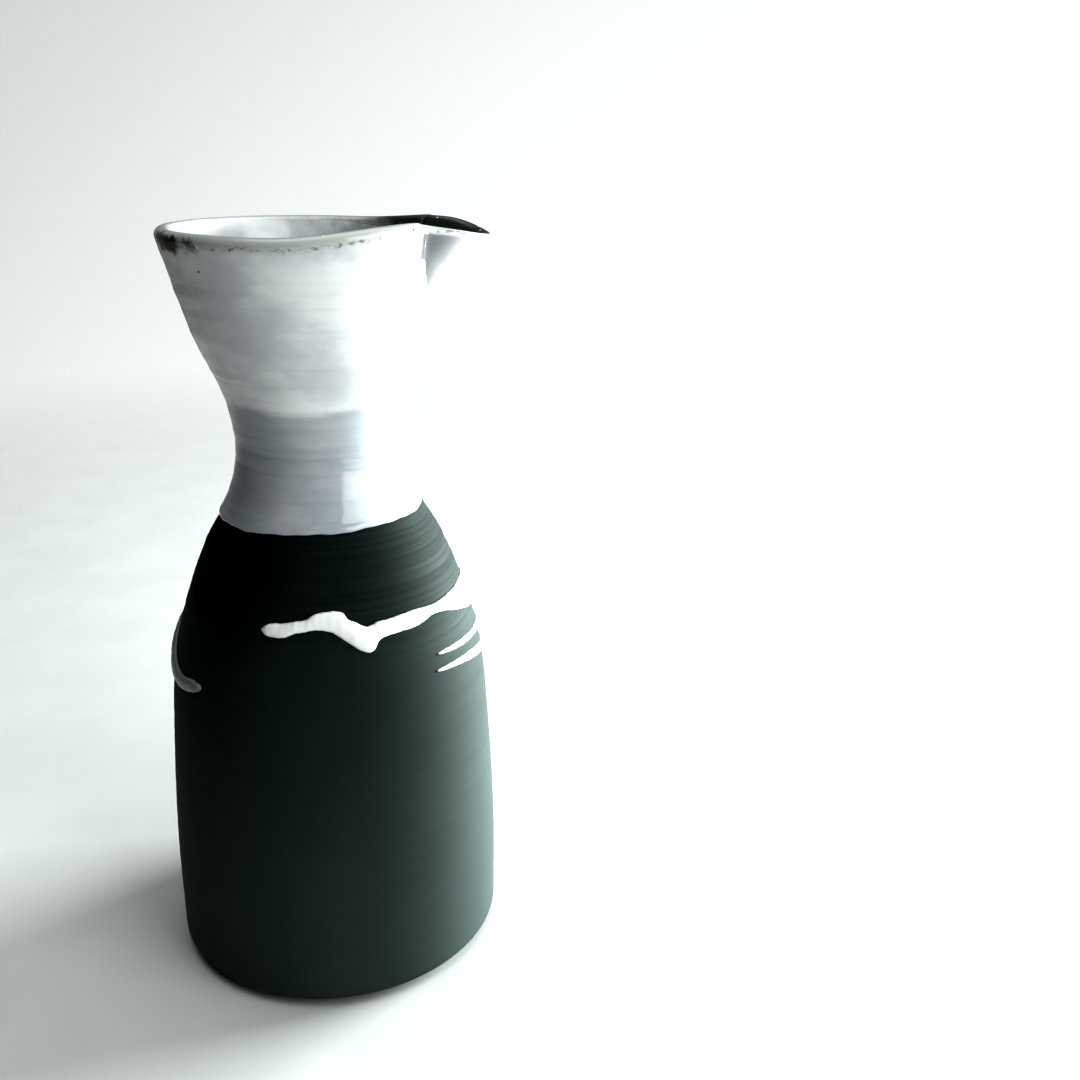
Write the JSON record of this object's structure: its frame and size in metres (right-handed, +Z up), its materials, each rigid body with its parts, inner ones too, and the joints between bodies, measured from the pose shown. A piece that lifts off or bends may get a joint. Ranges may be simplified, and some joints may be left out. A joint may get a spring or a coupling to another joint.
{
  "type": "sake bottle",
  "caption": "Wheel-thrown stoneware sake bottle with a waisted neck, a flared mouth with a pulled pouring lip, a dipped white neck glaze and raised slip trails.",
  "frame": {"origin": "centre of the flat foot", "axes": "+Z up through the mouth, +X towards the pouring lip, +Y completes the right-handed frame"},
  "size_m": [0.0832, 0.0832, 0.1838],
  "materials": {
    "dark_stoneware": "satin",
    "white_glaze": "gloss",
    "liner_glaze": "gloss",
    "white_slip": "semi-gloss"
  },
  "bodies": {
    "root": {"clay_body": "dark_stoneware", "neck_glaze": "white_glaze", "liner_glaze": "liner_glaze", "slip_trail_front": "white_slip", "slip_trail_right_upper": "white_slip", "slip_trail_right_lower": "white_slip", "slip_trail_left": "white_slip"}
  },
  "joints": []
}
